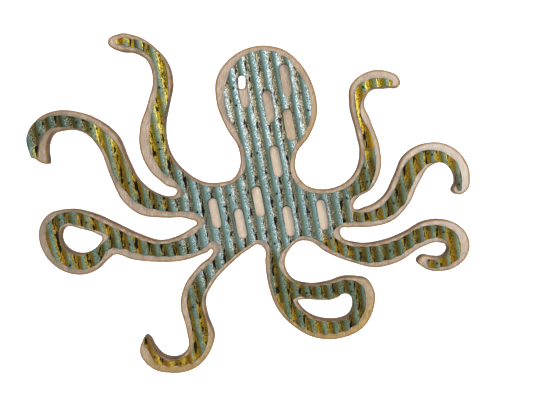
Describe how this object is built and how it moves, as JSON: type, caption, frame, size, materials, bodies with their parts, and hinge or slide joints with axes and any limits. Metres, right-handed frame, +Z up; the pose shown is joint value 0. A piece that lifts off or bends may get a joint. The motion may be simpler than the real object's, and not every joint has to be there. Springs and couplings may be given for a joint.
{
  "type": "octopus wall plaque",
  "caption": "Flat octopus silhouette for a wall: a sawn board with a smaller, slotted panel of painted corrugated metal nailed to its front, hung from a slot in the head.",
  "frame": {"origin": "on the board's back face, at the centre of the hanging slot's upper end, where the wall hook sits", "axes": "+X to the viewer's right, +Y back into the wall, +Z up; the painted front faces -Y"},
  "size_m": [0.5995, 0.0146, 0.4698],
  "materials": {
    "board": "raw sawn board with scorched brown edges",
    "panel": "distressed teal ribs over gold and grey grooves with black blotches, satin",
    "nails": "blackened wire nails"
  },
  "bodies": {
    "root": {"backing_board": "board", "corrugated_panel": "panel", "nails_head": "nails", "nails_body": "nails", "nails_arm_1": "nails", "nails_arm_2": "nails", "nails_arm_3": "nails", "nails_arm_4": "nails", "nails_arm_5": "nails", "nails_arm_6": "nails", "nails_arm_7": "nails", "nails_arm_8": "nails"}
  },
  "joints": []
}
